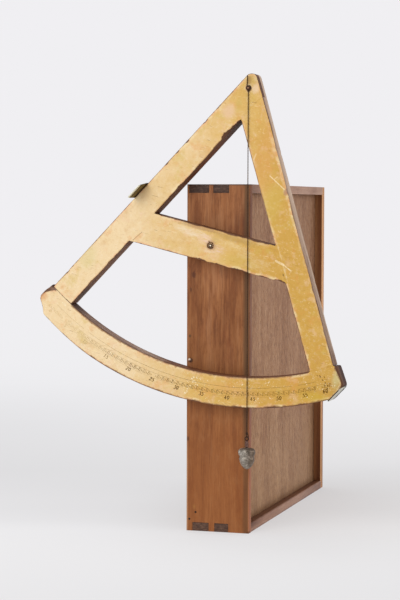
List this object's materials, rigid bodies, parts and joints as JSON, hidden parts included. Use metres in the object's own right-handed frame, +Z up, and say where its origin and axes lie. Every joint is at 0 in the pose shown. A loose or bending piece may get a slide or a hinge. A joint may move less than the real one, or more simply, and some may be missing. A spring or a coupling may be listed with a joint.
{
  "type": "sun sextant",
  "caption": "Wooden sun sextant with degree scale, brass sight plates and a plumb line, bolted to the narrow side of its standing wooden case.",
  "frame": {"origin": "centre of the case's underside, where it stands on the table", "axes": "+Z up; -Y is the narrow side of the case that carries the sextant, towards the viewer; +X is the viewer's right, the side with the recessed panel"},
  "size_m": [0.3176, 0.366, 0.4561],
  "materials": {
    "case_wood": "old oiled softwood, reddish brown",
    "panel_wood": "dull greyish brown wood",
    "frame_wood": "bare, aged grey-brown edges",
    "face_sheet": "yellowed, varnished, worn through at the edges",
    "brass": "dull, tarnished olive brass",
    "iron": "dark, rust-browned",
    "thread": "dark twisted linen thread",
    "lead": "dull grey dented lead"
  },
  "bodies": {
    "case": {"case_front_board": "case_wood", "case_rear_board": "case_wood", "case_top_board": "case_wood", "case_bottom_board": "case_wood", "case_panel": "panel_wood", "catch_stud": "brass", "lid_pivot_pins": "iron", "pivot_bolt": "iron", "spacer_washer": "brass", "inner_washer": "brass"},
    "lid": {"lid": "panel_wood"},
    "wing_nut": {"wing_nut": "iron"},
    "sextant": {"left_limb": "frame_wood", "right_limb": "frame_wood", "crossbar": "frame_wood", "arc_board": "frame_wood", "left_face_sheet": "face_sheet", "right_face_sheet": "face_sheet", "crossbar_face_sheet": "face_sheet", "scale_sheet": "face_sheet", "pinhole_plate": "brass", "pinhole_plate_nails": "iron", "target_plate": "brass", "target_plate_nails": "iron", "plumb_pin": "brass", "apex_tie": "thread"},
    "plumb": {"thread_eye": "thread", "plumb_thread": "thread", "thread_knot": "thread", "bob_eye": "iron", "plumb_bob": "lead"}
  },
  "joints": [
    {"name": "sextant_tilt", "type": "hinge", "parent": "case", "child": "sextant", "pos_m": [-0.0024, -0.174, 0.2878], "axis": [0, 1, 0], "range_deg": [-44, 15.5]},
    {"name": "plumb_swing", "type": "hinge", "parent": "sextant", "child": "plumb", "pos_m": [0.03607, -0.1845, 0.44208], "axis": [0, 1, 0], "range_deg": [-15.5, 44]},
    {"name": "lid_hinge", "type": "hinge", "parent": "case", "child": "lid", "pos_m": [-0.02955, 0, 0.0118], "axis": [0, -1, 0], "range_deg": [0, 90]},
    {"name": "wing_nut_turn", "type": "hinge", "parent": "case", "child": "wing_nut", "pos_m": [-0.0024, -0.15, 0.2878], "axis": [0, 1, 0], "continuous": true}
  ]
}
